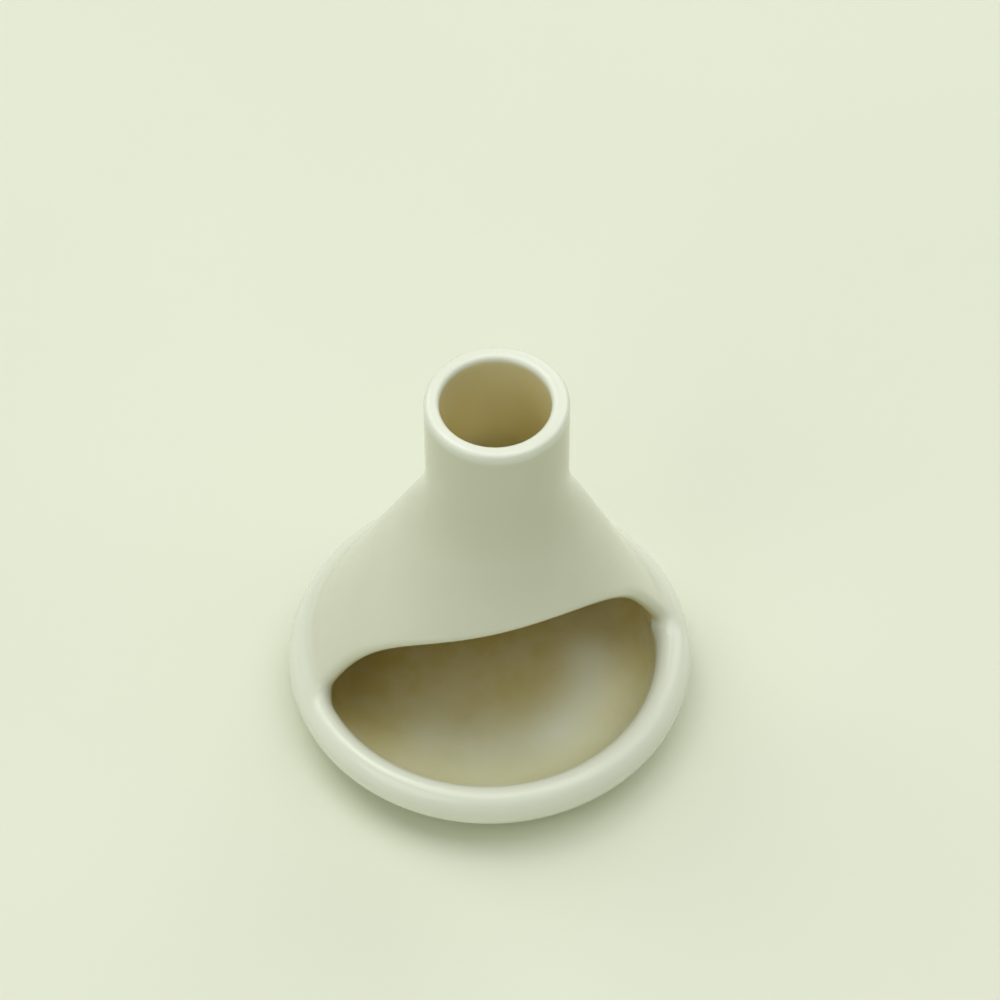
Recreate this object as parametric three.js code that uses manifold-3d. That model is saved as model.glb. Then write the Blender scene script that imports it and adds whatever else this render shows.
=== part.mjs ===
// Cone incense burner: a one-piece glazed porcelain body, which is a low round bowl with a
// rolled rim, a conical hood with an arched mouth, and a short chimney, and in it a burning
// incense cone with its tip of ash. Millimetres, +Z up, the mouth faces -Y, and the origin is
// on the table under the middle of the bowl.
import * as THREE from 'three';
import * as BufferGeometryUtils from 'three/addons/utils/BufferGeometryUtils.js';
import Module from 'manifold-3d';

// Bowl
const BOWL_RADIUS = 37.5; // widest point of the rolled rim
const RIM_HEIGHT = 13; // top of the rolled rim
const RIM_WIDTH = 6.3; // the rim is a full round, a little taller than wide
const RIM_DEPTH = 8; // height of that round
const RIM_TUCK = 50; // degrees that the round goes on under its widest point
const BELLY_UNDERCUT = 9; // how far the foot stands in from the widest point
const FOOT_WIDTH = 5; // flat ring that the burner stands on
const FOOT_RECESS = 0.8; // hollow under the middle
const FOOT_EASE = 0.6; // slope between the foot ring and the hollow
const BELLY_SLOPE = 25; // degrees at which the underside leaves the foot
const FLOOR_THICKNESS = 2.7;
const FLOOR_CURVE = 6.5; // width of the curve from the floor up to the rim

// Hood and chimney
const TOTAL_HEIGHT = 80.5;
const HOOD_RADIUS = 34.2; // outside of the hood where it meets the top of the rim
const HOOD_WALL = 3;
const SHOULDER_FILLET = 3; // how far up the hood the hollow curve goes that joins it to the rim
const SHOULDER_START = 53; // degrees up the rim's round where that curve leaves it
const SHOULDER_SWELL = 0.5; // how far the middle of the curve stands off the corner there
const CHIMNEY_RADIUS = 12.8;
const CHIMNEY_WALL = 2.7;
const CHIMNEY_EDGE = 1; // rounding of both edges at the top
const NECK_HEIGHT = 55.8; // where the slope of the hood would meet the chimney
const NECK_FILLET = 7; // height of each half of the curve between them
const CHIMNEY_SHIFT_X = 2.05; // the chimney of this hand-finished piece stands off the centre
const CHIMNEY_SHIFT_Y = 1.1;

// Mouth
const MOUTH_TOP = 41.4; // middle of the lip at the crown of the arch
const MOUTH_SPREAD = 86.1; // degrees from the crown to each foot of the arch
const MOUTH_TURN = -2; // degrees that the crown stands off the front, to the left
const MOUTH_SKEW = 0.7; // how much higher the hand-cut arch runs on its right half
const ARCH_FULLNESS = 0.39; // 0.5 is an ellipse, and less is fuller at the corners
const LIP_THICKNESS = 3.2; // the lip is a full round of this diameter
const CORNER_FADE = 20; // degrees over which the shoulder curve grows behind each corner

// Incense
const CONE_DIAMETER = 12;
const CONE_HEIGHT = 25; // with its tip of ash
const UNBURNT_HEIGHT = 15.5;
const CONE_TIP_RADIUS = 0.8;
const CONE_X = 2; // where the cone stands, behind the view through the mouth
const CONE_Y = 17.5;
const REST_GAP = 0.3; // clearance between pieces that rest on each other

// Fineness
const TURN_SEGMENTS = 64;
const ARCH_STEPS = 48;
const LIP_SIDES = 10;
const ROUND_STEPS = 6;
const SLOPE_STEPS = 5;
const EDGE_STEPS = 3;
const CONE_SEGMENTS = 32;

// Worked out from the sizes above
const RIM_MIDDLE_RADIUS = BOWL_RADIUS - RIM_WIDTH / 2;
const RIM_MIDDLE_HEIGHT = RIM_HEIGHT - RIM_DEPTH / 2;
const FLOOR_HEIGHT = FOOT_RECESS + FLOOR_THICKNESS;
const FOOT_RADIUS = BOWL_RADIUS - BELLY_UNDERCUT;
const HOOD_TAPER = (HOOD_RADIUS - CHIMNEY_RADIUS) / (NECK_HEIGHT - RIM_HEIGHT);
const HOOD_WALL_LEVEL = HOOD_WALL * Math.hypot(1, HOOD_TAPER); // wall measured level, not square
const BORE_RADIUS = CHIMNEY_RADIUS - CHIMNEY_WALL;
const MOUTH_SPRING = RIM_MIDDLE_HEIGHT; // the arch springs from inside the rolled rim
const FRONT = THREE.MathUtils.degToRad(MOUTH_TURN - 90); // where the crown stands, from +X
const HALF_SPREAD = THREE.MathUtils.degToRad(MOUTH_SPREAD);
const TIP_MIDDLE = CONE_HEIGHT - CONE_TIP_RADIUS; // the cone's side runs smoothly into its tip
const CONE_TAPER = Math.acos(CONE_TIP_RADIUS / Math.hypot(CONE_DIAMETER / 2, TIP_MIDDLE))
  - Math.atan2(TIP_MIDDLE, CONE_DIAMETER / 2);
const OVERLAP = 0.4; // how deep one form is sunk into another before they are joined
const SKIN_OVERLAP = 0.1; // the same where a curve has to end close under a surface

const wasm = await Module();
wasm.setup();

const point = (radius, height) => new THREE.Vector2(radius, height);

// One profile from several curves that follow each other
function joined(curves) {
  const points = [];
  for (const [curve, steps] of curves) {
    for (const next of curve.getPoints(steps)) {
      const last = points[points.length - 1];
      if (!last || last.distanceTo(next) > 1e-4) points.push(next);
    }
  }
  return points;
}

const straight = (from, to, steps = 1) => [new THREE.LineCurve(from, to), steps];

const bend = (from, corner, to, steps) => [new THREE.QuadraticBezierCurve(from, corner, to), steps];

// Arc of an ellipse, between two angles in degrees
function arc(middle, halfWidth, halfHeight, from, to, steps) {
  const clockwise = to < from;
  const [start, end] = [from, to].map(THREE.MathUtils.degToRad);
  return [new THREE.EllipseCurve(
    middle.x, middle.y, halfWidth, halfHeight, start, end, clockwise), steps];
}

// Closed three.js geometry as a solid that can be cut and joined
function solid(geometry) {
  const bare = geometry.clone();
  bare.deleteAttribute('normal');
  bare.deleteAttribute('uv');
  const merged = BufferGeometryUtils.mergeVertices(bare, 1e-4);
  const corners = merged.index.array;
  const kept = [];
  for (let i = 0; i < corners.length; i += 3) {
    const [a, b, c] = corners.slice(i, i + 3);
    if (a !== b && b !== c && c !== a) kept.push(a, b, c);
  }
  return new wasm.Manifold(new wasm.Mesh({
    numProp: 3,
    vertProperties: new Float32Array(merged.attributes.position.array),
    triVerts: new Uint32Array(kept),
  }));
}

// Solid back to a three.js geometry
function geometryOf(body) {
  const mesh = body.getMesh();
  const geometry = new THREE.BufferGeometry();
  geometry.setAttribute('position', new THREE.BufferAttribute(mesh.vertProperties, 3));
  geometry.setIndex(new THREE.BufferAttribute(mesh.triVerts, 1));
  geometry.computeVertexNormals();
  return geometry;
}

// Profile of radius and height, turned about the upright axis
function turned(profile, segments) {
  const geometry = new THREE.LatheGeometry(profile, segments);
  geometry.rotateX(Math.PI / 2);
  return geometry;
}

// Place on a ring: an angle counted from the crown of the mouth, a radius and a height
function around(angle, radius, height) {
  return new THREE.Vector3(
    radius * Math.cos(FRONT + angle), radius * Math.sin(FRONT + angle), height);
}

// Closed solid through a row of outlines that have the same number of corners
function loft(outlines) {
  const count = outlines[0].length;
  const places = outlines.flat().flatMap((place) => place.toArray());
  const faces = [];
  for (let row = 0; row + 1 < outlines.length; row += 1) {
    for (let corner = 0; corner < count; corner += 1) {
      const a = row * count + corner;
      const b = row * count + (corner + 1) % count;
      faces.push(a, a + count, b, b, a + count, b + count);
    }
  }
  const last = (outlines.length - 1) * count;
  for (let corner = 1; corner + 1 < count; corner += 1) {
    faces.push(0, corner, corner + 1, last, last + corner + 1, last + corner);
  }
  const geometry = new THREE.BufferGeometry();
  geometry.setAttribute('position', new THREE.Float32BufferAttribute(places, 3));
  geometry.setIndex(faces);
  return geometry;
}

// Outside of the hood's straight slope at a height
const slopeRadius = (height) => HOOD_RADIUS - (height - RIM_HEIGHT) * HOOD_TAPER;

// Height of the middle of the lip at an angle from the crown: the mouth is a full arch
// wrapped round the hood, and its right half runs a little higher
function archHeight(angle) {
  const share = Math.min(Math.abs(angle) / HALF_SPREAD, 1);
  const rise = (MOUTH_TOP - MOUTH_SPRING) * (1 - share ** 2) ** ARCH_FULLNESS;
  return MOUTH_SPRING + rise + MOUTH_SKEW * Math.sin(2 * angle) * (1 - share ** 8);
}

// Where the line that leaves the foot at its slope meets the line that leaves the rim's round
function bellyCorner(tucked) {
  const tuck = THREE.MathUtils.degToRad(RIM_TUCK);
  const steep = RIM_DEPTH * Math.cos(tuck) / (RIM_WIDTH * Math.sin(tuck));
  const rise = Math.tan(THREE.MathUtils.degToRad(BELLY_SLOPE));
  const radius = (tucked.x * steep - tucked.y - FOOT_RADIUS * rise) / (steep - rise);
  return point(radius, (radius - FOOT_RADIUS) * rise);
}

// Open bowl with its foot ring, belly, rolled rim and curved floor
function bowlSolid() {
  const foot = FOOT_RADIUS - FOOT_WIDTH;
  const rim = point(RIM_MIDDLE_RADIUS, RIM_MIDDLE_HEIGHT);
  const tuck = THREE.MathUtils.degToRad(RIM_TUCK);
  const tucked = point(
    rim.x + RIM_WIDTH / 2 * Math.cos(tuck), rim.y - RIM_DEPTH / 2 * Math.sin(tuck));
  const inside = RIM_MIDDLE_RADIUS - RIM_WIDTH / 2;
  return solid(turned(joined([
    straight(point(0, FOOT_RECESS), point(foot - FOOT_EASE, FOOT_RECESS)),
    straight(point(foot - FOOT_EASE, FOOT_RECESS), point(foot, 0)),
    straight(point(foot, 0), point(FOOT_RADIUS, 0)),
    bend(point(FOOT_RADIUS, 0), bellyCorner(tucked), tucked, SLOPE_STEPS),
    arc(rim, RIM_WIDTH / 2, RIM_DEPTH / 2, -RIM_TUCK, 180, 3 * ROUND_STEPS),
    arc(point(inside - FLOOR_CURVE, RIM_MIDDLE_HEIGHT), FLOOR_CURVE,
      RIM_MIDDLE_HEIGHT - FLOOR_HEIGHT, 0, -90, ROUND_STEPS),
    straight(point(inside - FLOOR_CURVE, FLOOR_HEIGHT), point(0, FLOOR_HEIGHT)),
  ]), TURN_SEGMENTS));
}

// Shell of the hood and chimney, turned in one, with a rounded top edge
function hoodShell() {
  const low = RIM_MIDDLE_HEIGHT;
  const neckLow = NECK_HEIGHT - NECK_FILLET;
  const neckHigh = NECK_HEIGHT + NECK_FILLET;
  const topLow = TOTAL_HEIGHT - CHIMNEY_EDGE;
  const outside = (height) => point(slopeRadius(height), height);
  const inside = (height) => point(slopeRadius(height) - HOOD_WALL_LEVEL, height);
  // where the slope inside would meet the bore
  const innerNeck = NECK_HEIGHT - (HOOD_WALL_LEVEL - CHIMNEY_WALL) / HOOD_TAPER;
  return solid(turned(joined([
    straight(inside(low), outside(low)),
    straight(outside(low), outside(neckLow), SLOPE_STEPS),
    bend(outside(neckLow), point(CHIMNEY_RADIUS, NECK_HEIGHT),
      point(CHIMNEY_RADIUS, neckHigh), ROUND_STEPS),
    straight(point(CHIMNEY_RADIUS, neckHigh), point(CHIMNEY_RADIUS, topLow)),
    arc(point(CHIMNEY_RADIUS - CHIMNEY_EDGE, topLow), CHIMNEY_EDGE, CHIMNEY_EDGE, 0, 90, EDGE_STEPS),
    arc(point(BORE_RADIUS + CHIMNEY_EDGE, topLow), CHIMNEY_EDGE, CHIMNEY_EDGE, 90, 180, EDGE_STEPS),
    straight(point(BORE_RADIUS, topLow), point(BORE_RADIUS, neckHigh)),
    bend(point(BORE_RADIUS, neckHigh), point(BORE_RADIUS, innerNeck), inside(neckLow), ROUND_STEPS),
    straight(inside(neckLow), inside(low), SLOPE_STEPS),
  ]), TURN_SEGMENTS));
}

// Middle line of the lip, along the arch in the middle of the hood's wall
class LipPath extends THREE.Curve {
  angleAt(share) {
    return -HALF_SPREAD * Math.cos(Math.PI * share);
  }

  getPoint(share, target = new THREE.Vector3()) {
    const angle = this.angleAt(share);
    const height = archHeight(angle);
    return target.copy(around(angle, slopeRadius(height) - HOOD_WALL_LEVEL / 2, height));
  }
}

// Everything inside the arch, to be cut from the hood. Its top is square to the hood's wall.
function mouthCutter() {
  const inner = BORE_RADIUS / 2;
  const outer = 2 * BOWL_RADIUS;
  const bottom = -BOWL_RADIUS;
  const path = new LipPath();
  const outlines = [];
  for (let step = 0; step <= ARCH_STEPS; step += 1) {
    const angle = path.angleAt(path.getUtoTmapping(step / ARCH_STEPS));
    const arch = archHeight(angle);
    const middle = slopeRadius(arch) - HOOD_WALL_LEVEL / 2;
    const top = (radius) => arch + (radius - middle) * HOOD_TAPER;
    outlines.push([
      around(angle, inner, bottom), around(angle, outer, bottom),
      around(angle, outer, top(outer)), around(angle, inner, top(inner)),
    ]);
  }
  return solid(loft(outlines));
}

// Rolled lip of the mouth. Both its ends are sunk in the rolled rim.
function lipSolid() {
  const section = new THREE.Shape();
  section.absarc(0, 0, LIP_THICKNESS / 2, 0, 2 * Math.PI);
  return solid(new THREE.ExtrudeGeometry(section, {
    curveSegments: LIP_SIDES / 2, steps: ARCH_STEPS, bevelEnabled: false, extrudePath: new LipPath(),
  }));
}

// Hollow curve between the hood and the rim. It fades out towards the corners of the mouth,
// where the lip meets the rim in a crease.
function shoulderSolid() {
  const fade = THREE.MathUtils.degToRad(CORNER_FADE);
  const leave = THREE.MathUtils.degToRad(SHOULDER_START);
  const steps = Math.round(TURN_SEGMENTS * (1 - MOUTH_SPREAD / 180));
  const sunk = (height) => point(slopeRadius(height) - OVERLAP, height);
  const low = point(
    RIM_MIDDLE_RADIUS + (RIM_WIDTH / 2 - SKIN_OVERLAP) * Math.cos(leave),
    RIM_MIDDLE_HEIGHT + (RIM_DEPTH / 2 - SKIN_OVERLAP) * Math.sin(leave));
  const bendHeight = RIM_HEIGHT + SHOULDER_SWELL;
  const corner = point(slopeRadius(bendHeight) + SHOULDER_SWELL, bendHeight);
  const top = RIM_HEIGHT + SHOULDER_FILLET;
  const high = point(slopeRadius(top) - SKIN_OVERLAP, top);
  const hollow = new THREE.QuadraticBezierCurve(low, corner, high).getPoints(ROUND_STEPS);
  const full = [sunk(RIM_MIDDLE_HEIGHT), ...hollow, sunk(top)];
  const outlines = [];
  for (let step = 0; step <= steps; step += 1) {
    const angle = HALF_SPREAD + 2 * (Math.PI - HALF_SPREAD) * step / steps;
    const fromCorner = Math.min(angle - HALF_SPREAD, 2 * Math.PI - HALF_SPREAD - angle);
    const share = THREE.MathUtils.smoothstep(fromCorner, 0, fade);
    outlines.push(full.map((place) => {
      const eased = sunk(place.y).lerp(place, share);
      return around(angle, eased.x, eased.y);
    }));
  }
  return solid(loft(outlines));
}

// Chimney's shift off the centre, growing smoothly from the rim to the neck
function leaned(body) {
  return body.warp((place) => {
    const share = THREE.MathUtils.smoothstep(place[2], RIM_MIDDLE_HEIGHT, NECK_HEIGHT);
    place[0] += CHIMNEY_SHIFT_X * share;
    place[1] += CHIMNEY_SHIFT_Y * share;
  });
}

// Whole porcelain body, cast and fired in one piece
function burnerBody() {
  const hood = hoodShell().subtract(mouthCutter()).add(lipSolid()).add(shoulderSolid());
  return geometryOf(bowlSolid().add(leaned(hood)));
}

// Radius of the incense cone at a height above its base
function coneRadius(height) {
  return CONE_DIAMETER / 2 - height * Math.tan(CONE_TAPER);
}

// Unburnt part of the incense cone
function unburntCone() {
  const radius = coneRadius(UNBURNT_HEIGHT);
  return turned(joined([
    straight(point(0, 0), point(coneRadius(0), 0)),
    straight(point(coneRadius(0), 0), point(radius, UNBURNT_HEIGHT)),
    straight(point(radius, UNBURNT_HEIGHT), point(0, UNBURNT_HEIGHT)),
  ]), CONE_SEGMENTS);
}

// Tip that has burnt to ash and still stands on the rest
function ashTip() {
  const start = UNBURNT_HEIGHT + REST_GAP;
  const roundLow = TIP_MIDDLE + CONE_TIP_RADIUS * Math.sin(CONE_TAPER);
  const tipStart = THREE.MathUtils.radToDeg(CONE_TAPER);
  return turned(joined([
    straight(point(0, start), point(coneRadius(start), start)),
    straight(point(coneRadius(start), start), point(coneRadius(roundLow), roundLow)),
    arc(point(0, TIP_MIDDLE), CONE_TIP_RADIUS, CONE_TIP_RADIUS, tipStart, 90, ROUND_STEPS),
  ]), CONE_SEGMENTS);
}

function named(name, geometry, material) {
  const mesh = new THREE.Mesh(geometry, material);
  mesh.name = name;
  return mesh;
}

const porcelain = new THREE.MeshStandardMaterial({ color: 0xe4e6d8, roughness: 0.12, metalness: 0 });
const incense = new THREE.MeshStandardMaterial({ color: 0x5d3f28, roughness: 0.9, metalness: 0 });
const ash = new THREE.MeshStandardMaterial({ color: 0xb9b4aa, roughness: 0.95, metalness: 0 });

const burner = new THREE.Group();
burner.add(named('burner_body', burnerBody(), porcelain));

const cone = new THREE.Group();
cone.position.set(CONE_X, CONE_Y, FLOOR_HEIGHT + REST_GAP);
cone.add(named('incense_cone', unburntCone(), incense));
cone.add(named('ash_tip', ashTip(), ash));
burner.add(cone);

export default burner;
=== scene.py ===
import math

import bpy
import numpy as np
from mathutils import Matrix, Vector, noise


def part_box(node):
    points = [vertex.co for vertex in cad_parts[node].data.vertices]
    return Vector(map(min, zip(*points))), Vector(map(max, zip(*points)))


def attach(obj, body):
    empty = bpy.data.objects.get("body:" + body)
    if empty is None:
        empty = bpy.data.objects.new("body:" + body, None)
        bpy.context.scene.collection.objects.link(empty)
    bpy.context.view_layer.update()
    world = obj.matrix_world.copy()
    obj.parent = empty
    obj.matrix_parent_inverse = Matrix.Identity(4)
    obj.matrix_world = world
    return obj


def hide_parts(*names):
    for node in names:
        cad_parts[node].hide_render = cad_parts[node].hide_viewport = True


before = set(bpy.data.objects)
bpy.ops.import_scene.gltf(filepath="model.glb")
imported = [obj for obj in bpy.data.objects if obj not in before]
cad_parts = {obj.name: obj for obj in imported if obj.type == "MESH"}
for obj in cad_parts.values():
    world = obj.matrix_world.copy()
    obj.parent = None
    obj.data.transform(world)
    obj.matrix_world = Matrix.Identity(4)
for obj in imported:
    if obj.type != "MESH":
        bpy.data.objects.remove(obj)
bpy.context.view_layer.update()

MM = 0.001
body_low, body_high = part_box("burner_body")

# Bowl
BOWL_RADIUS = (body_high.x - body_low.x) / 2 / MM
TOTAL_HEIGHT = body_high.z / MM
RIM_HEIGHT = 13.0
RIM_HALF_WIDTH = 3.15
RIM_HALF_HEIGHT = 4.0
RIM_DRIFT = 0.4
RIM_TUCK = 50
BELLY_UNDERCUT = 9.0
FOOT_WIDTH = 5.0
FOOT_RECESS = 0.8
FOOT_EASE = 0.6
BELLY_SLOPE = 25
FLOOR_THICKNESS = 2.7
FLOOR_CURVE = 6.5
RIM_MIDDLE_RADIUS = BOWL_RADIUS - RIM_HALF_WIDTH
RIM_MIDDLE_HEIGHT = RIM_HEIGHT - RIM_HALF_HEIGHT
FLOOR_HEIGHT = FOOT_RECESS + FLOOR_THICKNESS
FOOT_RADIUS = BOWL_RADIUS - BELLY_UNDERCUT

# Hood and chimney
HOOD_RADIUS = 34.2
HOOD_START = 12.4
HOOD_WALL = 3.0
CHIMNEY_RADIUS = 12.8
CHIMNEY_WALL = 2.7
NECK_HEIGHT = 55.8
NECK_FILLET = 7.0
CHIMNEY_SHIFT = (2.05, 1.1)
CHIMNEY_EXTRA = 0.55
CHIMNEY_EDGE = 1.0
LINE_OVERRUN = 5.0
HOOD_TAPER = (HOOD_RADIUS - CHIMNEY_RADIUS) / (NECK_HEIGHT - RIM_HEIGHT)
WALL_LEVEL = HOOD_WALL * math.hypot(1, HOOD_TAPER)

# Mouth
MOUTH_TOP = 41.4
MOUTH_TURN = math.radians(-2)
MOUTH_SKEW = 0.7
HALF_SPREAD = math.radians(86.1)
ARCH_FULLNESS = 0.39
CORNER_FADE = math.radians(20)
CREASE_MELT = 3.6
SHOULDER_MELT = 3.0
FAR_FROM_LIP = 8.0

# Stain, painted shade and painted light on the glaze. A pair is where a smooth change starts and ends,
# in millimetres if not said otherwise.
# Where the inside stain and painted shade lie, under the hood and in the bowl.
STAIN_AND_SHADE_THROUGH_LIP = (-0.6, 1.3)
STAIN_AND_SHADE_LOWEST = 3
STAIN_AND_SHADE_LOWEST_FADE = 1.5
STAIN_AND_SHADE_BOWL_TOP = (8.5, 11.5)
STAIN_AND_SHADE_BOWL_BOTTOM = (1.5, 2.5)
STAIN_AND_SHADE_INSIDE_RIM = (1.5, 3.2)
STAIN_AND_SHADE_CORNER_TURN = 0.05
# Smoke stain deepened by painted shade: lightest near the bore's top and the front of the floor, darkest
# high under the hood and towards its back.
SOOT_AND_SHADE_IN_BORE = (54, 76)
SOOT_AND_SHADE_OVER_FLOOR = (4, 18)
SOOT_AND_SHADE_FROM_MOUTH = (-26, 6)
TAR_HEIGHT = (48, 62)
# Painted shade: the glaze darkens up the chimney over these heights.
CHIMNEY_SHADE_HEIGHT = (40, 60)
# Painted light: a lighter band round the bowl's floor, strongest on the right.
LIGHT_BAND_RADIUS = 18.6
LIGHT_BAND_WIDTH = 5.4
LIGHT_BAND_HEIGHT = (6, 9)
LIGHT_BAND_LEFT_DEGREES = (-75, -50)
LIGHT_BAND_RIGHT_DEGREES = (-15, 30)
LIGHT_BAND_END_DEGREES = (80, 120)
LIGHT_BAND_LEFT_STRENGTH = 0.35
LIGHT_BAND_STRENGTH = 0.65
# Painted light: the inside colour fades near the top of the bore.
LIT_BORE_HEIGHT = 66
LIT_BORE_STRENGTH = 0.3
CLEAN_UNDER_TOP = (-2.2, -0.6)
# Painted highlight: how far it reaches above the bowl's rim and below the chimney's top.
HIGHLIGHT_OVER_RIM = (-1, 3)
HIGHLIGHT_UNDER_TOP = (-2.6, -1)
BARE_FOOT_HEIGHT = (0.15, 0.45)
STAIN_DULLNESS = 0.35

# Fineness of the porcelain's skin
CELL = 0.6
SETTLE_ROUNDS = 5
SETTLE_STEPS = 3
RELAX_SHARE = 0.6
CHART_STEP = 0.1
RIM_STEPS = 120
CURVE_STEPS = 60
NECK_STEPS = 41
ARCH_STEPS = 121


def smoothstep(x, low, high):
    """0 below low, 1 above high, and a smooth rise between them."""
    t = np.clip((x - low) / (high - low), 0, 1)
    return t * t * (3 - 2 * t)


def melted(a, b, reach):
    """Union of two distance fields with a smooth hollow curve of about that reach between them."""
    near = np.clip(reach - np.abs(a - b), 0, None) / reach
    return np.minimum(a, b) - near * near * reach / 4


def line_distance(x, y, line):
    """Least distance from the points to an open line, and the nearest place on it."""
    best = np.full(x.shape, np.inf)
    best_x = np.zeros(x.shape)
    best_y = np.zeros(x.shape)
    for (ax, ay), (bx, by) in zip(line[:-1], line[1:]):
        dx, dy = bx - ax, by - ay
        share = np.clip(((x - ax) * dx + (y - ay) * dy) / (dx * dx + dy * dy), 0, 1)
        near_x, near_y = ax + share * dx, ay + share * dy
        gap = (x - near_x) ** 2 + (y - near_y) ** 2
        closer = gap < best
        best = np.where(closer, gap, best)
        best_x = np.where(closer, near_x, best_x)
        best_y = np.where(closer, near_y, best_y)
    return np.sqrt(best), best_x, best_y


def ellipse_arc(middle, half_width, half_height, start, end, steps):
    """Places along an ellipse from one angle in degrees to another."""
    angles = np.radians(np.linspace(start, end, steps))
    return [(middle[0] + half_width * math.cos(a), middle[1] + half_height * math.sin(a))
            for a in angles]


def bent(start, corner, end, steps):
    """Places along a curve that leaves the start and reaches the end in line with the corner."""
    return [tuple((1 - t) ** 2 * start[k] + 2 * t * (1 - t) * corner[k] + t * t * end[k] for k in (0, 1))
            for t in np.linspace(0, 1, steps)]


def belly_corner(tucked):
    """Where the line that leaves the foot at BELLY_SLOPE meets the line that leaves the rim's round."""
    tuck = math.radians(RIM_TUCK)
    steep = RIM_HALF_HEIGHT * math.cos(tuck) / (RIM_HALF_WIDTH * math.sin(tuck))
    rise = math.tan(math.radians(BELLY_SLOPE))
    radius = (tucked[0] * steep - tucked[1] - FOOT_RADIUS * rise) / (steep - rise)
    return radius, (radius - FOOT_RADIUS) * rise


def bowl_outline():
    """Cross-section of the bowl, from the middle of its underside round to the middle of its floor."""
    foot = FOOT_RADIUS - FOOT_WIDTH
    inside = RIM_MIDDLE_RADIUS - RIM_HALF_WIDTH
    round_rim = ellipse_arc((RIM_MIDDLE_RADIUS, RIM_MIDDLE_HEIGHT), RIM_HALF_WIDTH, RIM_HALF_HEIGHT,
                            -RIM_TUCK, 180, RIM_STEPS)
    return [
        (0, FOOT_RECESS), (foot - FOOT_EASE, FOOT_RECESS), (foot, 0),
        *bent((FOOT_RADIUS, 0), belly_corner(round_rim[0]), round_rim[0], CURVE_STEPS)[:-1],
        *round_rim,
        *ellipse_arc((inside - FLOOR_CURVE, RIM_MIDDLE_HEIGHT), FLOOR_CURVE,
                     RIM_MIDDLE_HEIGHT - FLOOR_HEIGHT, -1, -90, CURVE_STEPS),
        (0, FLOOR_HEIGHT),
    ]


class Chart:
    """Signed distance to a turned outline, kept on a fine chart of radius and height."""

    def __init__(self, outline, margin=3.0):
        self.low = (-CHART_STEP, min(p[1] for p in outline) - margin)
        high = (max(p[0] for p in outline) + margin, max(p[1] for p in outline) + margin)
        r, z = np.meshgrid(np.arange(self.low[0], high[0], CHART_STEP),
                           np.arange(self.low[1], high[1], CHART_STEP), indexing="ij")
        gap, _, _ = line_distance(np.abs(r), z, outline)
        within = np.zeros(r.shape, bool)
        for (ax, ay), (bx, by) in zip(outline, outline[1:] + outline[:1]):
            if ay != by:
                crosses = (ay > z) != (by > z)
                within ^= crosses & (np.abs(r) < ax + (z - ay) / (by - ay) * (bx - ax))
        self.values = np.where(within, -gap, gap)

    def __call__(self, r, z):
        """The distance at some places, read between the chart's points; 1.001 keeps them all on it."""
        u, v = (r - self.low[0]) / CHART_STEP, (z - self.low[1]) / CHART_STEP
        x = np.clip(u, 0, self.values.shape[0] - 1.001)
        y = np.clip(v, 0, self.values.shape[1] - 1.001)
        i, j = x.astype(int), y.astype(int)
        s, t = x - i, y - j
        near = self.values[i, j] * (1 - t) + self.values[i, j + 1] * t
        far = self.values[i + 1, j] * (1 - t) + self.values[i + 1, j + 1] * t
        return near * (1 - s) + far * s + np.hypot(u - x, v - y) * CHART_STEP


def slope_middle(height):
    """Radius of the middle of the hood's wall on its straight slope."""
    return HOOD_RADIUS - (height - RIM_HEIGHT) * HOOD_TAPER - WALL_LEVEL / 2


def hood_line():
    """Middle of the wall of the hood and chimney, from inside the rim to past the top."""
    neck_low = NECK_HEIGHT - NECK_FILLET
    middle = CHIMNEY_RADIUS - CHIMNEY_WALL / 2
    start = (slope_middle(neck_low), neck_low)
    corner = (middle, neck_low + (slope_middle(neck_low) - middle) / HOOD_TAPER)
    end = (middle, NECK_HEIGHT + NECK_FILLET)
    return [(slope_middle(HOOD_START), HOOD_START), *bent(start, corner, end, NECK_STEPS),
            (middle, TOTAL_HEIGHT + LINE_OVERRUN)]


def arch_height(angle):
    """Height of the middle of the lip: an arch wrapped round the hood, a little higher on the right."""
    share = np.clip(np.abs(angle) / HALF_SPREAD, 0, 1)
    rise = (MOUTH_TOP - RIM_MIDDLE_HEIGHT) * (1 - share ** 2) ** ARCH_FULLNESS
    return RIM_MIDDLE_HEIGHT + rise + MOUTH_SKEW * np.sin(2 * angle) * (1 - share ** 8)


def unrolled(radius, angle):
    """A place on the hood's cone, laid out flat, so that lengths along the wall can be measured."""
    sine = HOOD_TAPER / math.hypot(1, HOOD_TAPER)
    return radius / sine * np.sin(angle * sine), radius / sine * np.cos(angle * sine)


def arch_line():
    """Middle of the lip on the unrolled hood."""
    angles = HALF_SPREAD * np.sin(np.linspace(-1, 1, ARCH_STEPS) * math.pi / 2)
    x, y = unrolled(slope_middle(arch_height(angles)), angles)
    return list(zip(x, y))


BOWL = Chart(bowl_outline())
HOOD_LINE = hood_line()
ARCH_LINE = arch_line()


def straightened(p):
    """Radius, angle from the mouth and height, as if the chimney stood upright over the bowl."""
    share = smoothstep(p[:, 2], RIM_MIDDLE_HEIGHT, NECK_HEIGHT)
    x = p[:, 0] - CHIMNEY_SHIFT[0] * share
    y = p[:, 1] - CHIMNEY_SHIFT[1] * share
    return np.hypot(x, y), np.arctan2(x, -y) - MOUTH_TURN, p[:, 2]


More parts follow.
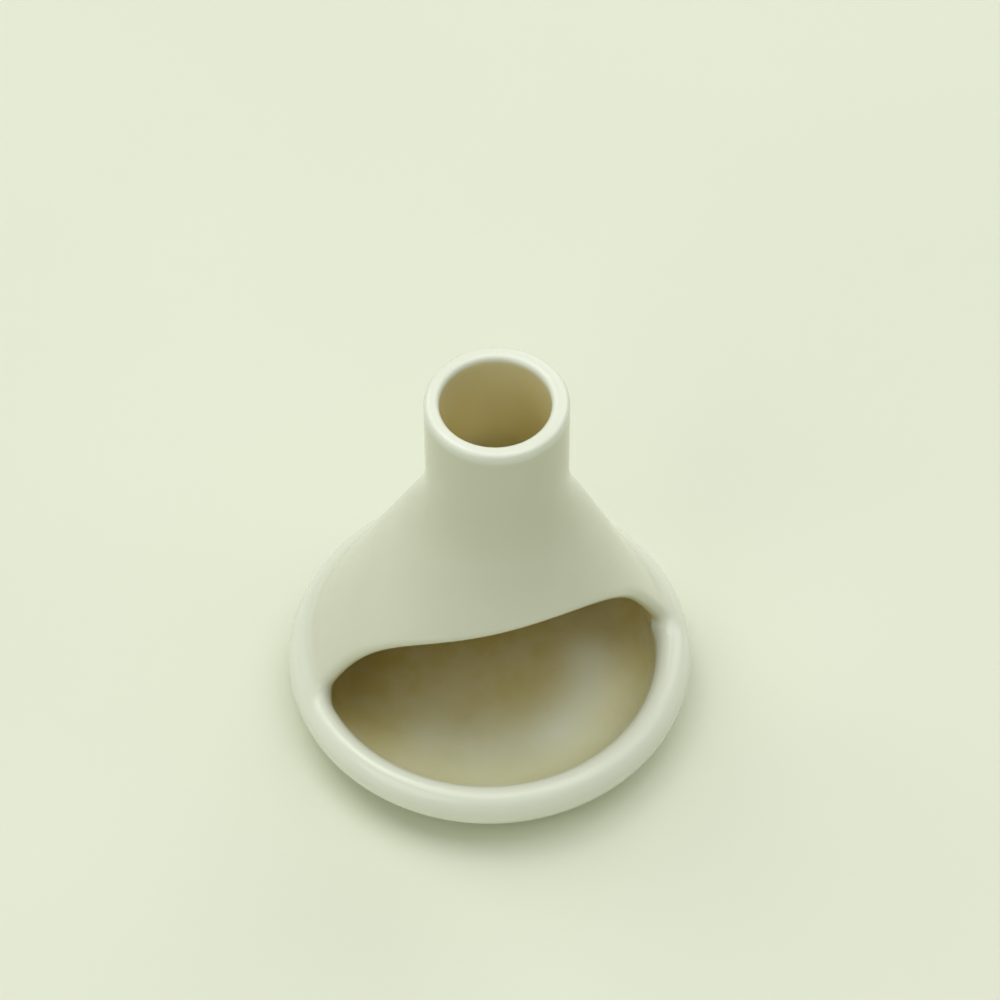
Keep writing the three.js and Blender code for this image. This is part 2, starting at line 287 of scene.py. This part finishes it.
def hood(p):
    """Distance to the shell of the hood and chimney with its round-edged mouth.

    In the open mouth it is exact only within FAR_FROM_LIP.
    """
    radius, angle, height = straightened(p)
    extra = CHIMNEY_EXTRA / 4 * (1 + np.sin(angle + MOUTH_TURN)) * smoothstep(
        height, NECK_HEIGHT - NECK_FILLET, NECK_HEIGHT + NECK_FILLET)
    across, at_radius, at_height = line_distance(radius + extra, height, HOOD_LINE)
    half = HOOD_WALL / 2 + (CHIMNEY_WALL - HOOD_WALL) / 2 * smoothstep(
        at_height, NECK_HEIGHT - NECK_FILLET, NECK_HEIGHT + NECK_FILLET) + extra
    past_side = across - half + CHIMNEY_EDGE
    past_top = height - TOTAL_HEIGHT + CHIMNEY_EDGE
    rounded = np.hypot(np.clip(past_side, 0, None), np.clip(past_top, 0, None))
    across = rounded + np.clip(np.maximum(past_side, past_top), None, 0) - CHIMNEY_EDGE + half
    in_mouth = (np.abs(angle) < HALF_SPREAD) & (at_height < arch_height(angle))
    along = np.where(in_mouth, FAR_FROM_LIP, 0.0)
    chosen = np.flatnonzero(in_mouth & (across < FAR_FROM_LIP))
    x, y = unrolled(at_radius[chosen], angle[chosen])
    along[chosen] = line_distance(x, y, ARCH_LINE)[0]
    return np.hypot(across, along) - half


def porcelain(p):
    """Distance to the whole body, below zero inside the porcelain."""
    radius = np.hypot(p[:, 0], p[:, 1])
    angle = np.abs(np.arctan2(p[:, 0], -p[:, 1]) - MOUTH_TURN)
    reach = CREASE_MELT + (SHOULDER_MELT - CREASE_MELT) * smoothstep(
        angle, HALF_SPREAD, HALF_SPREAD + CORNER_FADE)
    inward = 1 - smoothstep(radius, RIM_MIDDLE_RADIUS - RIM_HALF_WIDTH, BOWL_RADIUS)
    drifted = radius + RIM_DRIFT * inward * p[:, 0] / np.maximum(radius, 1)
    return melted(BOWL(drifted, p[:, 2]), hood(p), reach)


def stain_and_shade_share(p):
    """1 on the walls inside the hood, chimney and bowl, which carry a smoke stain together with painted
    shade, 0 outside, smooth over the lip.
    """
    radius, angle, height = straightened(p)
    _, at_radius, _ = line_distance(radius, height, HOOD_LINE)
    closed = smoothstep(np.abs(angle), HALF_SPREAD - STAIN_AND_SHADE_CORNER_TURN, HALF_SPREAD + STAIN_AND_SHADE_CORNER_TURN)
    lowest = RIM_HEIGHT - (RIM_HEIGHT - STAIN_AND_SHADE_LOWEST) * closed
    under_hood = smoothstep(at_radius - radius, *STAIN_AND_SHADE_THROUGH_LIP)
    under_hood *= smoothstep(height, lowest, lowest + STAIN_AND_SHADE_LOWEST_FADE)
    in_bowl = (1 - smoothstep(height, *STAIN_AND_SHADE_BOWL_TOP)) * smoothstep(height, *STAIN_AND_SHADE_BOWL_BOTTOM)
    in_bowl *= smoothstep(RIM_MIDDLE_RADIUS - radius, *STAIN_AND_SHADE_INSIDE_RIM)
    return 1 - (1 - under_hood) * (1 - in_bowl)


def soot_and_shade_share(p):
    """How dark a place inside is coloured, smoke stain and painted shade together: little near the
    openings, most high under the hood.
    """
    bore = 1 - smoothstep(p[:, 2], *SOOT_AND_SHADE_IN_BORE)
    floor = smoothstep(p[:, 2], *SOOT_AND_SHADE_OVER_FLOOR)
    under = smoothstep(p[:, 1], *SOOT_AND_SHADE_FROM_MOUTH)
    return bore * np.maximum(floor, under)


def tar_share(p):
    """1 in the chimney's bore, where the glaze is stained yellow, 0 below it."""
    return smoothstep(p[:, 2], *TAR_HEIGHT)


def painted_light_band_share(p):
    """Painted light: a lighter band that bends round the floor, strongest on the right."""
    radius = np.hypot(p[:, 0], p[:, 1])
    angle = np.degrees(np.arctan2(p[:, 0], -p[:, 1]))
    along = LIGHT_BAND_LEFT_STRENGTH * smoothstep(angle, *LIGHT_BAND_LEFT_DEGREES)
    along += (1 - LIGHT_BAND_LEFT_STRENGTH) * smoothstep(angle, *LIGHT_BAND_RIGHT_DEGREES)
    along *= 1 - smoothstep(angle, *LIGHT_BAND_END_DEGREES)
    across = np.exp(-((radius - LIGHT_BAND_RADIUS) / LIGHT_BAND_WIDTH) ** 2)
    return across * along * (1 - smoothstep(p[:, 2], *LIGHT_BAND_HEIGHT))


def lit_and_unstained_share(p):
    """How much of the inside colour is taken away: painted light along the floor's band and near the top
    of the bore, and no stain on the bore's top edge.
    """
    # Painted light near the top of the bore.
    near_top = LIT_BORE_STRENGTH * smoothstep(p[:, 2], LIT_BORE_HEIGHT, TOTAL_HEIGHT)
    edge = smoothstep(p[:, 2] - TOTAL_HEIGHT, *CLEAN_UNDER_TOP)
    # Painted light along the floor's band.
    return np.maximum(near_top, edge) + LIGHT_BAND_STRENGTH * painted_light_band_share(p)


def bowl_and_rims_highlight_share(p):
    """Painted highlight: a lighter, whiter glaze over the bowl up to its rolled rim and round the
    chimney's top edge.
    """
    on_rim = 1 - smoothstep(p[:, 2] - RIM_HEIGHT, *HIGHLIGHT_OVER_RIM)
    return np.maximum(on_rim, smoothstep(p[:, 2] - TOTAL_HEIGHT, *HIGHLIGHT_UNDER_TOP))


def slope(field, p, step=0.03):
    """Gradient of a field at the points."""
    columns = []
    for axis in range(3):
        nudge = np.zeros(3)
        nudge[axis] = step
        columns.append((field(p + nudge) - field(p - nudge)) / (2 * step))
    return np.stack(columns, 1)


def settled(field, p, times):
    """Points moved onto the zero surface of the field."""
    for _ in range(times):
        gradient = slope(field, p)
        p = p - (field(p) / (gradient * gradient).sum(1))[:, None] * gradient
    return p


CUBE = np.array([(0, 0, 0), (1, 0, 0), (0, 1, 0), (1, 1, 0), (0, 0, 1), (1, 0, 1), (0, 1, 1), (1, 1, 1)])
CUBE_EDGES = [(a, b) for a in range(8) for b in range(a + 1, 8) if np.abs(CUBE[a] - CUBE[b]).sum() == 1]


def skin(field, low, high, cell):
    """Closed quad mesh over the zero surface of a field: one point in each cell that it crosses."""
    axes = [np.arange(low[k], high[k] + cell, cell) for k in range(3)]
    values = np.empty([len(a) for a in axes])
    y, z = np.meshgrid(axes[1], axes[2], indexing="ij")
    for i, x in enumerate(axes[0]):
        values[i] = field(np.stack([np.full(y.size, x), y.ravel(), z.ravel()], 1)).reshape(y.shape)
    within = values < 0
    cells = [n - 1 for n in values.shape]
    count = np.zeros(cells, int)
    for corner in CUBE:
        count += within[tuple(slice(corner[k], corner[k] + cells[k]) for k in range(3))]
    crossed = np.argwhere((count > 0) & (count < 8))
    total = np.zeros((len(crossed), 3))
    hits = np.zeros(len(crossed))
    for a, b in CUBE_EDGES:
        at_a = values[tuple((crossed + CUBE[a]).T)]
        at_b = values[tuple((crossed + CUBE[b]).T)]
        cut = (at_a < 0) != (at_b < 0)
        share = np.where(cut, at_a / np.where(cut, at_a - at_b, 1), 0)[:, None]
        total += cut[:, None] * (CUBE[a] + share * (CUBE[b] - CUBE[a]))
        hits += cut
    points = np.array(low) + cell * (crossed + total / hits[:, None])
    number = np.full(cells, -1)
    number[tuple(crossed.T)] = np.arange(len(crossed))
    steps = np.eye(3, dtype=int)
    quads = []
    for axis in range(3):
        one, two = steps[(axis + 1) % 3], steps[(axis + 2) % 3]
        edges = np.argwhere(within != np.roll(within, -1, axis))
        edges = edges[edges[:, axis] < cells[axis]]
        ring = [number[tuple((edges - back).T)] for back in (0 * one, one, one + two, two)]
        ring = np.stack(ring, 1)
        quads.append(np.where(within[tuple(edges.T)][:, None], ring, ring[:, ::-1]))
    return points, np.concatenate(quads)


def relaxed(points, quads, rounds, field):
    """Even spacing: each point drifts to the middle of its neighbours and back onto the surface."""
    starts, ends = quads.ravel(), np.roll(quads, -1, 1).ravel()
    starts, ends = np.concatenate([starts, ends]), np.concatenate([ends, starts])
    degree = np.bincount(starts, minlength=len(points))
    for _ in range(rounds):
        middle = np.stack([np.bincount(starts, points[ends, k], len(points)) for k in range(3)], 1)
        points = settled(field, points + RELAX_SHARE * (middle / degree[:, None] - points), 1)
    return points


def mesh_object(name, points, faces, material):
    """New smooth-shaded object from points in millimetres."""
    mesh = bpy.data.meshes.new(name)
    mesh.from_pydata((np.asarray(points) * MM).tolist(), [], [list(map(int, f)) for f in faces])
    mesh.polygons.foreach_set("use_smooth", [True] * len(mesh.polygons))
    mesh.materials.append(material)
    mesh.update()
    piece = bpy.data.objects.new(name, mesh)
    bpy.context.scene.collection.objects.link(piece)
    return piece


def per_point(piece, name, values):
    """A number stored at each point, for the material to read."""
    layer = piece.data.attributes.new(name, "FLOAT", "POINT")
    layer.data.foreach_set("value", np.asarray(values, np.float32))


class Finish:
    """A material under construction: its nodes, with short ways to add and join them."""

    def __init__(self, name, roughness):
        self.material = bpy.data.materials.new(name)
        self.material.use_nodes = True
        self.nodes = self.material.node_tree.nodes
        self.links = self.material.node_tree.links
        self.surface = self.nodes["Principled BSDF"]
        self.surface.inputs["Roughness"].default_value = roughness
        self.place = self.nodes.new("ShaderNodeTexCoord").outputs["Object"]

    def noise(self, scale, detail=2.0, roughness=0.5):
        """Smooth random pattern from 0 to 1."""
        node = self.nodes.new("ShaderNodeTexNoise")
        node.inputs["Scale"].default_value = scale
        node.inputs["Detail"].default_value = detail
        node.inputs["Roughness"].default_value = roughness
        self.links.new(self.place, node.inputs["Vector"])
        return node.outputs["Fac"]

    def cells(self, scale):
        """Distance to the nearest edge between random cells."""
        node = self.nodes.new("ShaderNodeTexVoronoi")
        node.feature = "DISTANCE_TO_EDGE"
        node.inputs["Scale"].default_value = scale
        self.links.new(self.place, node.inputs["Vector"])
        return node.outputs["Distance"]

    def attribute(self, name):
        """A number that per_point has stored."""
        node = self.nodes.new("ShaderNodeAttribute")
        node.attribute_name = name
        return node.outputs["Fac"]

    def ranged(self, value, low, high, start=0.0, end=1.0):
        """A value from low to high turned smoothly into one from start to end."""
        node = self.nodes.new("ShaderNodeMapRange")
        node.interpolation_type = "SMOOTHSTEP"
        node.inputs["From Min"].default_value = low
        node.inputs["From Max"].default_value = high
        node.inputs["To Min"].default_value = start
        node.inputs["To Max"].default_value = end
        self.links.new(value, node.inputs["Value"])
        return node.outputs["Result"]

    def times(self, a, b):
        """Product of two values."""
        node = self.nodes.new("ShaderNodeMath")
        node.operation = "MULTIPLY"
        self.links.new(a, node.inputs[0])
        self.links.new(b, node.inputs[1])
        return node.outputs[0]

    def mix(self, share, a, b):
        """Colour between a and b; each is a colour or the output of another node."""
        node = self.nodes.new("ShaderNodeMix")
        node.data_type = "RGBA"
        self.links.new(share, node.inputs["Factor"])
        for socket, colour in ((node.inputs[6], a), (node.inputs[7], b)):
            if isinstance(colour, tuple):
                socket.default_value = (*colour, 1)
            else:
                self.links.new(colour, socket)
        return node.outputs[2]

    def bump(self, height, distance, strength=1.0, under=None):
        """Fine relief from a pattern, on top of another relief where one is given."""
        node = self.nodes.new("ShaderNodeBump")
        node.inputs["Distance"].default_value = distance
        node.inputs["Strength"].default_value = strength
        self.links.new(height, node.inputs["Height"])
        if under:
            self.links.new(under, node.inputs["Normal"])
        return node.outputs["Normal"]

    def join(self, output, name):
        """Feeds an output into the surface."""
        self.links.new(output, self.surface.inputs[name])


GLAZE = (0.72, 0.75, 0.59)
GLAZE_CLOUDY = (0.70, 0.73, 0.57)
# Painted shade: a darker glaze up the chimney.
GLAZE_CHIMNEY_SHADED = (0.67, 0.69, 0.53)
# Painted highlight: a lighter, whiter glaze on the bowl, its rim and the chimney's edge.
GLAZE_HIGHLIGHT = (0.82, 0.87, 0.73)
# Inside colours: smoke stain with painted shade, lighter and darker.
SOOT_AND_SHADE_LIGHT = (0.69, 0.69, 0.41)
SOOT_AND_SHADE_DARK = (0.555, 0.455, 0.155)
TARRED = (0.84, 0.73, 0.34)
BISQUE = (0.74, 0.70, 0.60)
GLAZE_ROUGHNESS = 0.15
DULL_ROUGHNESS = 0.6


def porcelain_finish():
    """White glaze, slightly cloudy and wavy, left bare under the foot; inside, smoke stain with painted
    shade and painted light; painted shade up the chimney and a painted highlight on the bowl and rims.
    """
    f = Finish("glazed_porcelain", GLAZE_ROUGHNESS)
    cloud = f.ranged(f.noise(60, 3), 0.35, 0.65)
    # Painted shade up the chimney, over the cloudy glaze.
    shaded_glaze = f.mix(f.attribute("chimney"), f.mix(cloud, GLAZE, GLAZE_CLOUDY), GLAZE_CHIMNEY_SHADED)
    # Painted highlight on the bowl, its rolled rim and the chimney's top edge.
    outside = f.mix(f.attribute("highlight_paint"), shaded_glaze, GLAZE_HIGHLIGHT)
    # Smoke stain darkened by painted shade inside.
    sooty_and_shaded = f.mix(f.attribute("soot_shade_depth"), SOOT_AND_SHADE_LIGHT, SOOT_AND_SHADE_DARK)
    stained = f.mix(f.attribute("tar"), sooty_and_shaded, TARRED)
    patches = f.ranged(f.noise(90, 4, 0.6), 0.3, 0.7, 0.75, 1.0)
    # Inside colour: smoke stain with painted shade, in random patches.
    glazed = f.mix(f.times(f.attribute("inside"), patches), outside, stained)
    f.join(f.mix(f.attribute("bare"), glazed, BISQUE), "Base Color")
    f.join(f.ranged(f.attribute("dull"), 0, 1, GLAZE_ROUGHNESS, DULL_ROUGHNESS), "Roughness")
    waves = f.bump(f.noise(70, 1), 0.0002, 0.35)
    f.join(f.bump(f.noise(1200, 1), 0.00001, 0.3, waves), "Normal")
    return f.material


def burner_body():
    """The one fired piece: bowl, hood and chimney."""
    margin = 2 * CELL
    low = (-BOWL_RADIUS - margin, -BOWL_RADIUS - margin, -margin)
    high = (BOWL_RADIUS + margin, BOWL_RADIUS + margin, TOTAL_HEIGHT + margin)
    points, quads = skin(porcelain, low, high, CELL)
    points = relaxed(settled(porcelain, points, SETTLE_STEPS), quads, SETTLE_ROUNDS, porcelain)
    points = settled(porcelain, points, SETTLE_STEPS)
    piece = mesh_object("porcelain_body", points, quads, porcelain_finish())
    # The inside colour is a smoke stain and painted shade together; painted light and the unstained top
    # edge take some of it away.
    inside = stain_and_shade_share(points)
    bare = 1 - smoothstep(points[:, 2], *BARE_FOOT_HEIGHT)
    per_point(piece, "inside", inside * (1 - lit_and_unstained_share(points)))
    # Smoke stain with painted shade inside.
    per_point(piece, "soot_shade_depth", soot_and_shade_share(points))
    per_point(piece, "tar", tar_share(points))
    # Painted highlight on the bowl and rims.
    per_point(piece, "highlight_paint", bowl_and_rims_highlight_share(points))
    # Painted shade: darker glaze up the chimney.
    per_point(piece, "chimney", smoothstep(points[:, 2], *CHIMNEY_SHADE_HEIGHT))
    per_point(piece, "bare", bare)
    per_point(piece, "dull", np.maximum(bare, STAIN_DULLNESS * inside))
    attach(piece, "burner")
    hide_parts("burner_body")


# Incense cone: the unburnt part and the ash that still stands on it.
# An edge lists places by how far each is outward and up from the sharp corner.
CONE_SIDES = 72
CONE_STEP = 0.35
CONE_ROUGHNESS = 0.14
CONE_GRAIN = 1.1
CONE_FOOT_EDGE = ((-0.7, 0), (-0.15, 0.12), (0, 0.5))
CONE_TOP_EDGE = ((0, -0.3), (-0.35, 0))
BURN_DEPTH = 1.7
BURN_WANDER = 1.2
BURN_GRAIN = 2.0
ASH_STEP = 0.25
ASH_ROUGHNESS = 0.4
ASH_GRAIN = 0.9
ASH_LAYERS = 4
ASH_FOOT_EDGE = ((-0.3, 0), (-0.05, 0.25))
ASH_TOP_EDGE = ((-0.1, -0.4), (-0.4, -0.12))
ASH_FOOT_HEIGHT = 0.5
ASH_SHOULDER = 0.25
ASH_TIP_RADIUS = 0.8
POWDER_DARK = (0.060, 0.028, 0.013)
POWDER_LIGHT = (0.155, 0.080, 0.040)
CHARRED = (0.012, 0.010, 0.009)
EMBER_DEEP = (1.0, 0.10, 0.01)
EMBER_BRIGHT = (1.0, 0.32, 0.05)
ASH_PALE = (0.52, 0.49, 0.44)
ASH_GREY = (0.34, 0.32, 0.29)
ASH_CRACK = (0.13, 0.12, 0.11)


def turned(profile, push):
    """Points and faces of a solid turned round an upright axis, each point pulled inward by push."""
    points = [(0.0, 0.0, profile[0][1])]
    for radius, height in profile[1:-1]:
        for k in range(CONE_SIDES):
            a = 2 * math.pi * k / CONE_SIDES
            r = radius - push(radius * math.cos(a), radius * math.sin(a), height)
            points.append((r * math.cos(a), r * math.sin(a), height))
    points.append((0.0, 0.0, profile[-1][1]))
    rings = len(profile) - 2
    last = len(points) - 1
    faces = []
    for k in range(CONE_SIDES):
        n = (k + 1) % CONE_SIDES
        faces.append((0, 1 + n, 1 + k))
        for ring in range(rings - 1):
            a, b = 1 + ring * CONE_SIDES, 1 + (ring + 1) * CONE_SIDES
            faces.append((a + k, a + n, b + n, b + k))
        top = 1 + (rings - 1) * CONE_SIDES
        faces.append((top + k, top + n, last))
    return np.array(points), faces


def edged(radius, height, edge):
    """Places along an eased edge."""
    return [(radius + out, height + up) for out, up in edge]


def filled(corners, step):
    """The outline with extra places, so that no part of it is longer than the step."""
    line = [corners[0]]
    for a, b in zip(corners[:-1], corners[1:]):
        count = max(1, math.ceil(math.dist(a, b) / step))
        line += [(a[0] + (b[0] - a[0]) * i / count, a[1] + (b[1] - a[1]) * i / count)
                 for i in range(1, count + 1)]
    return line


def grain(x, y, z, size, layers=3):
    """Smooth random number from 0 to 1 at a place."""
    value = 0.5 + 0.5 * noise.fractal(Vector((x, y, z)) / size, 1.0, 2.0, layers)
    return min(1.0, max(0.0, value))


def cone_place(node):
    """Middle, least and greatest height, and radius of a CAD node in millimetres."""
    low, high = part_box(node)
    middle = np.array([(low.x + high.x) / 2, (low.y + high.y) / 2, 0]) / MM
    return middle, low.z / MM, high.z / MM, (high.x - low.x) / 2 / MM


def incense_finish():
    """Pressed brown powder, charred and glowing at its burning top."""
    f = Finish("pressed_incense", 0.85)
    grains = f.ranged(f.noise(1400, 3, 0.7), 0.3, 0.7)
    powder = f.mix(grains, POWDER_DARK, POWDER_LIGHT)
    char = f.ranged(f.attribute("burn"), 0.25, 0.75)
    f.join(f.mix(char, powder, CHARRED), "Base Color")
    glow = f.ranged(f.attribute("burn"), 0.86, 1.0)
    patchy = f.ranged(f.noise(900, 3, 0.6), 0.35, 0.6)
    f.join(f.mix(patchy, EMBER_DEEP, EMBER_BRIGHT), "Emission Color")
    f.join(f.times(glow, f.ranged(f.noise(700, 2), 0.3, 0.7, 1.0, 6.0)), "Emission Strength")
    f.join(f.bump(f.noise(2500, 2, 0.7), 0.00012, 0.8), "Normal")
    return f.material


def ash_finish():
    """Pale grey ash with fine cracks."""
    f = Finish("cone_ash", 0.95)
    clouds = f.ranged(f.noise(500, 4, 0.6), 0.3, 0.7)
    ash = f.mix(clouds, ASH_PALE, ASH_GREY)
    f.join(f.mix(f.ranged(f.cells(700), 0.0, 0.06), ASH_CRACK, ash), "Base Color")
    f.join(f.bump(f.noise(1800, 3, 0.7), 0.0002, 0.9), "Normal")
    return f.material


def incense_cone():
    """The unburnt part, rough as pressed powder, with a wandering burnt edge."""
    middle, low, high, radius = cone_place("incense_cone")
    top = cone_place("ash_tip")[3]
    corners = [(0, low), *edged(radius, low, CONE_FOOT_EDGE), *edged(top, high, CONE_TOP_EDGE),
               (0, high)]
    points, faces = turned(filled(corners, CONE_STEP),
                           lambda x, y, z: CONE_ROUGHNESS * grain(x, y, z, CONE_GRAIN))
    edge = high - BURN_DEPTH + np.array([BURN_WANDER * grain(x, y, 0, BURN_GRAIN) for x, y, _ in points])
    burn = np.clip((points[:, 2] - edge) / (high - edge), 0, 1)
    piece = mesh_object("incense_pressed_cone", points + middle, faces, incense_finish())
    per_point(piece, "burn", burn)
    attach(piece, "incense")
    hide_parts("incense_cone")


def ash_tip():
    """The cone's own tip, burnt to rough ash and still standing."""
    middle, low, high, radius = cone_place("ash_tip")
    tip = ASH_TIP_RADIUS
    lean = (radius - tip) / (high - low - tip)
    corners = [(0, low), *edged(radius, low, ASH_FOOT_EDGE),
               (radius - ASH_SHOULDER * lean, low + ASH_FOOT_HEIGHT),
               (tip + ASH_SHOULDER * lean, high - tip), *edged(tip, high, ASH_TOP_EDGE), (0, high)]
    points, faces = turned(filled(corners, ASH_STEP),
                           lambda x, y, z: ASH_ROUGHNESS * grain(x, y, z, ASH_GRAIN, ASH_LAYERS) ** 2)
    piece = mesh_object("ash_standing_tip", points + middle, faces, ash_finish())
    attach(piece, "incense")
    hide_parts("ash_tip")


# Camera at the photograph's view
CAMERA_AZIMUTH = math.radians(-16.0)
CAMERA_ELEVATION = math.radians(51.58)
CAMERA_ROLL = math.radians(-0.354)
CAMERA_DISTANCE = 800.0
CAMERA_AIM = Vector((8.88, 23.29, 23.5))
FOCAL_PIXELS = 4262.0
IMAGE_PIXELS = 1000.0
SENSOR = 36.0
CLIP_END = 20.0


def add_camera():
    """Camera that sees the burner as the photograph does, with its slight roll."""
    back = Vector((
        math.sin(CAMERA_AZIMUTH) * math.cos(CAMERA_ELEVATION),
        -math.cos(CAMERA_AZIMUTH) * math.cos(CAMERA_ELEVATION),
        math.sin(CAMERA_ELEVATION)))
    level = Vector((math.cos(CAMERA_AZIMUTH), math.sin(CAMERA_AZIMUTH), 0))
    above = back.cross(level)
    right = math.cos(CAMERA_ROLL) * level + math.sin(CAMERA_ROLL) * above
    up = -math.sin(CAMERA_ROLL) * level + math.cos(CAMERA_ROLL) * above
    data = bpy.data.cameras.new("camera")
    data.sensor_fit = "HORIZONTAL"
    data.sensor_width = SENSOR
    data.lens = SENSOR * FOCAL_PIXELS / IMAGE_PIXELS
    data.clip_end = CLIP_END
    camera = bpy.data.objects.new("camera", data)
    turn = Matrix((right, up, back)).transposed().to_4x4()
    camera.matrix_world = Matrix.Translation((CAMERA_AIM + CAMERA_DISTANCE * back) * MM) @ turn
    bpy.context.scene.collection.objects.link(camera)
    bpy.context.scene.camera = camera


# Plain pale floor
FLOOR_HALF_WIDTH = 3.0
FLOOR_LIGHT = (0.79, 0.83, 0.672)
FLOOR_DARK = (0.78, 0.82, 0.662)


def floor_finish():
    """Matte and pale, with faint clouds."""
    f = Finish("pale_floor", 0.6)
    f.join(f.mix(f.ranged(f.noise(9, 2), 0.35, 0.65), FLOOR_LIGHT, FLOOR_DARK), "Base Color")
    return f.material


def add_floor():
    """Flat floor, wide enough for a view from any side."""
    w = FLOOR_HALF_WIDTH
    mesh = bpy.data.meshes.new("floor")
    mesh.from_pydata([(-w, -w, 0), (w, -w, 0), (w, w, 0), (-w, w, 0)], [], [(0, 1, 2, 3)])
    mesh.materials.append(floor_finish())
    floor = bpy.data.objects.new("floor", mesh)
    bpy.context.scene.collection.objects.link(floor)


# Large soft lamps: azimuth (0 in front of the mouth, 90 to its right), elevation and watts
SOFT_LAMPS = {
    "lamp_high": (200, 80, 7.5),
    "lamp_front": (15, 64, 3.0),
    "lamp_back_left": (212, 52, 6.5),
    "lamp_back_right": (135, 36, 4.5),
    "lamp_right": (75, 58, 4.0),
    "lamp_left": (300, 28, 4.5),
}
LAMP_DISTANCE = 1.6
LAMP_SIZE = 1.3
LAMP_AIM = Vector((0, 0, 0.03))
SKY_COLOUR = (1, 0.985, 0.88, 1)
SKY_STRENGTH = 0.2


def add_lamp(name, azimuth, elevation, power):
    """Round soft lamp aimed at the burner."""
    a, e = math.radians(azimuth), math.radians(elevation)
    way = Vector((math.sin(a) * math.cos(e), -math.cos(a) * math.cos(e), math.sin(e)))
    data = bpy.data.lights.new(name, "AREA")
    data.shape = "DISK"
    data.size = LAMP_SIZE
    data.energy = power
    lamp = bpy.data.objects.new(name, data)
    lamp.location = way * LAMP_DISTANCE + LAMP_AIM
    lamp.rotation_euler = (-way).to_track_quat("-Z", "Y").to_euler()
    bpy.context.scene.collection.objects.link(lamp)


def add_light():
    """Dim even sky and the soft lamps."""
    world = bpy.data.worlds.new("world")
    world.use_nodes = True
    background = world.node_tree.nodes["Background"]
    background.inputs["Color"].default_value = SKY_COLOUR
    background.inputs["Strength"].default_value = SKY_STRENGTH
    bpy.context.scene.world = world
    for name, (azimuth, elevation, power) in SOFT_LAMPS.items():
        add_lamp(name, azimuth, elevation, power)


bpy.context.scene.view_settings.view_transform = "Standard"
burner_body()
incense_cone()
ash_tip()
add_camera()
add_floor()
add_light()
